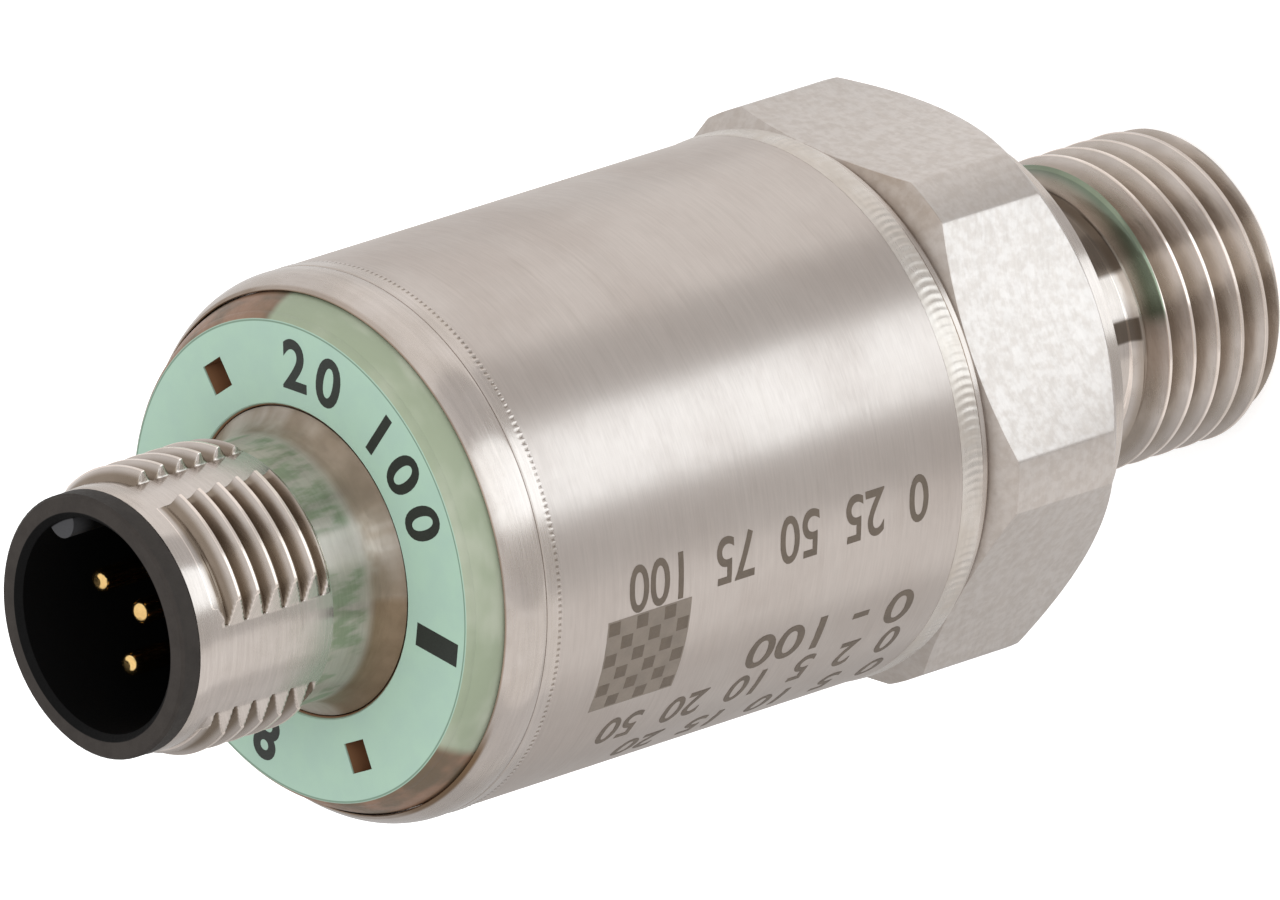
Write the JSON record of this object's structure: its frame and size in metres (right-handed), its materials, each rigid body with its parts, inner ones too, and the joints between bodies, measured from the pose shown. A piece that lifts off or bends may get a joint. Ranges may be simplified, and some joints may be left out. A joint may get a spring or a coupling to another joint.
{
  "type": "pressure transmitter",
  "caption": "Slim stainless steel pressure transmitter: threaded stud and hexagon below, welded sleeve, range ring and keyed round plug socket on top.",
  "frame": {"origin": "centre of the sealing face, where the collar under the hexagon meets the port", "axes": "+Z along the turned axis towards the plug, +X square to one flat of the hexagon, +Y towards the key of the plug socket"},
  "size_m": [0.023, 0.0242, 0.0593],
  "materials": {
    "turned_steel": "turned 1.4404 stainless steel, fine tool marks",
    "sleeve_steel": "drawn stainless steel tube, fine axial brushing",
    "weld": "straw-tinted laser weld bead",
    "range_ring": "moulded pale green plastic, plain marks",
    "insert_plastic": "moulded glass-filled polyamide, dark grey",
    "gold_contact": "gold-plated brass",
    "oring_rubber": "fluoroelastomer",
    "spring_steel": "spring steel strip",
    "cell_steel": "fine-turned precipitation-hardened steel",
    "bridge_film": "thin film on glass",
    "gold_wire": "gold wire",
    "board": "glass-epoxy board with green solder mask",
    "flex": "polyimide ribbon",
    "carrier_plastic": "moulded PBT, natural",
    "chip_plastic": "moulded epoxy",
    "crystal_can": "nickel-plated can",
    "tantalum": "moulded tantalum capacitor",
    "ceramic_chip": "fired ceramic with tinned ends"
  },
  "bodies": {
    "root": {"process_connection": "turned_steel", "end_cap": "turned_steel", "housing_sleeve": "sleeve_steel", "lower_weld": "weld", "upper_weld": "weld", "range_ring": "range_ring", "connector_insert": "insert_plastic", "insert_oring": "oring_rubber", "insert_circlip": "spring_steel", "measuring_cell": "cell_steel", "bridge_film": "bridge_film", "cell_board": "board", "bond_wires": "gold_wire", "board_carrier": "carrier_plastic", "main_board": "board", "signal_converter": "chip_plastic", "microcontroller": "chip_plastic", "output_driver": "chip_plastic", "voltage_regulator": "chip_plastic", "quartz_crystal": "crystal_can", "tantalum_capacitors": "tantalum", "ceramic_capacitors": "ceramic_chip", "chip_resistors": "ceramic_chip", "plug_board": "board", "board_link": "insert_plastic", "board_link_pins": "gold_contact", "ground_spring": "spring_steel", "flex_lead": "flex", "contact_pin_1": "gold_contact", "contact_pin_2": "gold_contact", "contact_pin_3": "gold_contact", "contact_pin_4": "gold_contact", "contact_pin_5": "gold_contact"}
  },
  "joints": []
}
